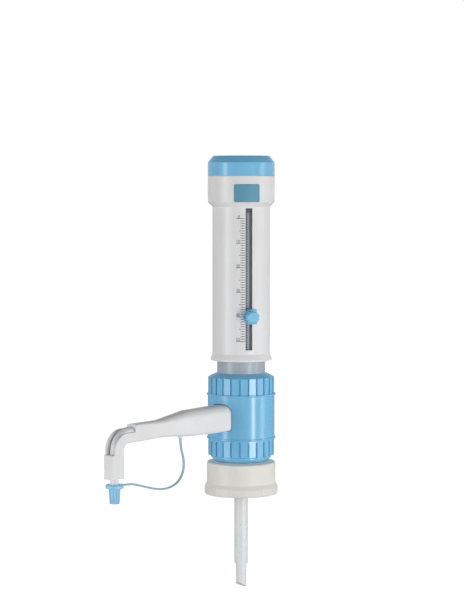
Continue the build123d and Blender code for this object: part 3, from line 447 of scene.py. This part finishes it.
def add_printed_number(bm, text, right, base, height, radius, film, turn):
    """A number whose right end and foot are given, bent round the sleeve."""
    size_per_height = 1.4
    curve = bpy.data.curves.new("number", "FONT")
    curve.body = text
    curve.size = height * size_per_height
    curve.align_x = "RIGHT"
    curve.resolution_u = 4
    curve.extrude = film
    shape = mesh_of_curve(curve)
    for vertex in shape.vertices:
        out = radius + (vertex.co.z + film) / 2
        vertex.co = on_sleeve(right + vertex.co.x, base + vertex.co.y, out, turn)
    bm.from_mesh(shape)
    bpy.data.meshes.remove(shape)


class DISPENSER_OT_scale_print(bpy.types.Operator):
    """Print the volume scale and its numbers beside the slot"""

    bl_idname = "dispenser.scale_print"
    bl_label = "Scale print"

    def execute(self, context):
        sizes = settings("scale_sizes")
        pointer_level = node_centre("pointer").z
        cylinder_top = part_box("glass_cylinder")[1].z
        bore_radius = radius_of("glass_cylinder", cylinder_top, min)
        millilitre = 1e-6 / (math.pi * bore_radius**2)
        zero = pointer_level + sizes.set_volume * millilitre
        radius = radius_of("outer_sleeve", zero)
        bm = bmesh.new()
        right = -sizes.edge_gap
        for division in range(sizes.full_volume + 1):
            level = zero - division * millilitre
            length = sizes.short_tick
            if division % 10 == 0:
                length = sizes.long_tick
            elif division % 5 == 0:
                length = sizes.middle_tick
            half = sizes.line_width / 2
            corners = (right - length, level - half), (right, level + half)
            add_printed_bar(bm, *corners, radius, sizes.film, sizes.slot_turn)
            if division % 10 == 0:
                number_end = right - sizes.short_tick - sizes.line_width
                foot = level + sizes.line_width
                args = (number_end, foot, sizes.number_height, radius, sizes.film, sizes.slot_turn)
                add_printed_number(bm, str(division), *args)
        bmesh.ops.remove_doubles(bm, verts=bm.verts, dist=1e-7)
        bmesh.ops.recalc_face_normals(bm, faces=bm.faces)
        mesh = bpy.data.meshes.new("volume_scale")
        bm.to_mesh(mesh)
        bm.free()
        ink = printed_ink("Pad_printing_ink_grey", settings("plastic_colours").ink)
        piece = new_piece("volume_scale", mesh, ink)
        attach(piece, "lift_sleeve")
        return {"FINISHED"}


# The strap's course in millimetres: reach from the axis and height above the bottle's mouth.
STRAP_ROUTE = [
    (67.0, 27.2),
    (67.0, 21.0),
    (63.3, 11.6),
    (63.7, 3.0),
    (69.0, -4.0),
    (77.5, -7.1),
    (87.7, -7.3),
    (98.5, -5.0),
    (108.6, -2.2),
    (117.9, 0.35),
    (126.9, 0.35),
]


def strap_line():
    """Points along the strap's own smooth line, from the arm to the nozzle cap."""
    curve = bpy.data.curves.new("strap_line", "CURVE")
    curve.dimensions = "3D"
    curve.resolution_u = 12
    spline = curve.splines.new("NURBS")
    spline.points.add(len(STRAP_ROUTE) - 1)
    for point, (reach, height) in zip(spline.points, STRAP_ROUTE):
        point.co = (-reach * MM, 0, height * MM, 1)
    spline.order_u = 3
    spline.use_endpoint_u = True
    mesh = mesh_of_curve(curve)
    points = [vertex.co.copy() for vertex in mesh.vertices]
    bpy.data.meshes.remove(mesh)
    return points


class DISPENSER_OT_cap_strap(bpy.types.Operator):
    """Make the soft flat strap that ties the nozzle cap to the arm"""

    bl_idname = "dispenser.cap_strap"
    bl_label = "Cap strap"

    def execute(self, context):
        sizes = settings("strap_sizes")
        line = strap_line()
        sideways = Vector((0, 1, 0))
        sides = 16
        bm = bmesh.new()
        rings = []
        for place, point in enumerate(line):
            before = line[max(place - 1, 0)]
            after = line[min(place + 1, len(line) - 1)]
            along = (after - before).normalized()
            normal = along.cross(sideways).normalized()
            ring = []
            for side in range(sides):
                angle = 2 * math.pi * side / sides
                across = sideways * math.cos(angle) * sizes.width / 2
                ring.append(bm.verts.new(point + across + normal * math.sin(angle) * sizes.thickness / 2))
            rings.append(ring)
        skin_rings(bm, rings)
        bmesh.ops.recalc_face_normals(bm, faces=bm.faces)
        mesh = bpy.data.meshes.new("nozzle_cap_strap")
        bm.to_mesh(mesh)
        bm.free()
        for face in mesh.polygons:
            face.use_smooth = len(face.vertices) == 4
        colour = settings("plastic_colours").strap_blue
        piece = new_piece("nozzle_cap_strap", mesh, moulded("Silicone_grey_blue_moulded", colour, 0.5))
        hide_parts("cap_strap")
        # The strap starts to follow the nozzle cap 82 mm from the axis, near its lowest stretch.
        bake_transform(piece)
        return {"FINISHED"}


def add_softbox(name, place, aim_level, width, height, power):
    """A rectangular lamp of so many watts that faces the axis at a level."""
    light = bpy.data.lights.new(name, "AREA")
    light.shape = "RECTANGLE"
    light.size = width
    light.size_y = height
    light.energy = power
    lamp = bpy.data.objects.new(name, light)
    lamp.location = place
    lamp.rotation_euler = (Vector((0, 0, aim_level)) - place).to_track_quat("-Z", "Y").to_euler()
    bpy.context.scene.collection.objects.link(lamp)


def light_world(studio):
    """A world that looks plain white, and lights the object less from above than from the sides."""
    world = bpy.data.worlds.new("Studio")
    bpy.context.scene.world = world
    world.use_nodes = True
    tree = world.node_tree
    tree.nodes.clear()
    output = add_node(tree, "ShaderNodeOutputWorld")
    path = add_node(tree, "ShaderNodeLightPath")
    seen = add_node(tree, "ShaderNodeMath", {}, {0: path.outputs["Is Camera Ray"]}, operation="MAXIMUM")
    tree.links.new(path.outputs["Is Transmission Ray"], seen.inputs[1])
    mirrored = add_node(
        tree,
        "ShaderNodeMapRange",
        {"To Min": studio.world_strength, "To Max": 1.0},
        {"Value": path.outputs["Is Glossy Ray"]},
    )
    place = add_node(tree, "ShaderNodeTexCoord")
    axes = add_node(tree, "ShaderNodeSeparateXYZ", {}, {"Vector": place.outputs["Generated"]})
    fade = add_node(
        tree,
        "ShaderNodeMapRange",
        {"From Max": studio.overhead_start, "To Min": 1.0, "To Max": studio.overhead_share},
        {"Value": axes.outputs["Z"]},
    )
    fill = add_node(
        tree,
        "ShaderNodeMath",
        {},
        {0: mirrored.outputs["Result"], 1: fade.outputs["Result"]},
        operation="MULTIPLY",
    )
    level = add_node(
        tree, "ShaderNodeMapRange", {"To Max": 1.0}, {"Value": seen.outputs[0], "To Min": fill.outputs[0]}
    )
    glow = add_node(
        tree, "ShaderNodeBackground", {"Color": (1, 1, 1, 1)}, {"Strength": level.outputs["Result"]}
    )
    tree.links.new(glow.outputs["Background"], output.inputs["Surface"])


def lay_floor(studio):
    """A wide pale floor that keeps the object's shadow and looks white."""
    half_width = 60.0
    mesh = bpy.data.meshes.new("studio_floor")
    bm = bmesh.new()
    bmesh.ops.create_grid(bm, x_segments=1, y_segments=1, size=half_width)
    bm.to_mesh(mesh)
    bm.free()
    material, tree, output = new_material("Paper_white_backdrop")
    grey = studio.floor_grey
    matt = add_node(tree, "ShaderNodeBsdfDiffuse", {"Color": (grey, grey, grey, 1)})
    path = add_node(tree, "ShaderNodeLightPath")
    lift = add_node(
        tree,
        "ShaderNodeMath",
        {1: studio.floor_glow},
        {0: path.outputs["Is Camera Ray"]},
        operation="MULTIPLY",
    )
    glow = add_node(tree, "ShaderNodeEmission", {}, {"Strength": lift.outputs[0]})
    both = add_node(tree, "ShaderNodeAddShader")
    tree.links.new(matt.outputs["BSDF"], both.inputs[0])
    tree.links.new(glow.outputs["Emission"], both.inputs[1])
    tree.links.new(both.outputs["Shader"], output.inputs["Surface"])
    floor = new_piece("studio_floor", mesh, material)
    floor.location.z = -studio.floor_drop


class DISPENSER_OT_studio(bpy.types.Operator):
    """Set up the floor, the soft lights and the camera"""

    bl_idname = "dispenser.studio"
    bl_label = "Studio"

    def execute(self, context):
        studio = settings("studio_settings")
        scene = context.scene
        scene.view_settings.view_transform = "Standard"
        light_world(studio)
        lay_floor(studio)
        turn = studio.camera_turn
        towards = Vector((math.sin(turn), -math.cos(turn), 0))
        right = Vector((math.cos(turn), math.sin(turn), 0))
        up = Vector((0, 0, 1))
        block_level = 0.03
        sleeve_level = 0.14
        place = towards * 0.7 + right * 0.63 - up * 0.07
        add_softbox("low_key_softbox", place, block_level, width=0.11, height=0.3, power=2.5)
        place = towards * 0.19 + right * 0.88 + up * 0.06
        add_softbox("right_softbox", place, sleeve_level, width=0.26, height=0.5, power=1.7)
        place = towards * 0.5 - right * 0.75 + up * 0.05
        add_softbox("left_softbox", place, block_level, width=0.2, height=0.5, power=2.5)
        camera_data = bpy.data.cameras.new("photo_camera")
        camera_data.lens = studio.lens
        camera_data.sensor_width = 36.0
        camera_data.clip_end = 50.0
        camera = bpy.data.objects.new("photo_camera", camera_data)
        camera.location = towards * studio.camera_distance + up * studio.eye_height
        camera.rotation_euler = (math.pi / 2 - studio.look_down, 0, turn + studio.look_left)
        scene.collection.objects.link(camera)
        scene.camera = camera
        return {"FINISHED"}


class DISPENSER_PT_sidebar(bpy.types.Panel):
    """Lists the dispenser's steps and settings in the 3D view's sidebar"""

    bl_idname = "DISPENSER_PT_sidebar"
    bl_label = "Bottle-top dispenser"
    bl_space_type = "VIEW_3D"
    bl_region_type = "UI"
    bl_category = "Dispenser"

    def draw(self, context):
        for step in STEPS:
            self.layout.operator(step.bl_idname)
        for group in SETTING_GROUPS:
            holder = getattr(context.scene, group)
            for name in holder.bl_rna.properties.keys():
                if name not in ("rna_type", "name"):
                    self.layout.prop(holder, name)


STEPS = [
    DISPENSER_OT_studio,
    DISPENSER_OT_cap_strap,
    DISPENSER_OT_white_shells,
    DISPENSER_OT_blue_parts,
    DISPENSER_OT_clear_parts,
    DISPENSER_OT_inner_works,
    DISPENSER_OT_scale_print,
]

SETTING_GROUPS = {
    "plastic_colours": PlasticColours,
    "scale_sizes": ScaleSizes,
    "strap_sizes": StrapSizes,
    "studio_settings": StudioSettings,
}


def register():
    for group in SETTING_GROUPS.values():
        bpy.utils.register_class(group)
    for step in STEPS:
        bpy.utils.register_class(step)
    bpy.utils.register_class(DISPENSER_PT_sidebar)
    for name, group in SETTING_GROUPS.items():
        setattr(bpy.types.Scene, name, PointerProperty(type=group))


def unregister():
    for name in SETTING_GROUPS:
        delattr(bpy.types.Scene, name)
    bpy.utils.unregister_class(DISPENSER_PT_sidebar)
    for step in reversed(STEPS):
        bpy.utils.unregister_class(step)
    for group in reversed(SETTING_GROUPS.values()):
        bpy.utils.unregister_class(group)


def main():
    register()
    for step in STEPS:
        group, action = step.bl_idname.split(".")
        getattr(getattr(bpy.ops, group), action)()


if __name__ == "__main__":
    main()
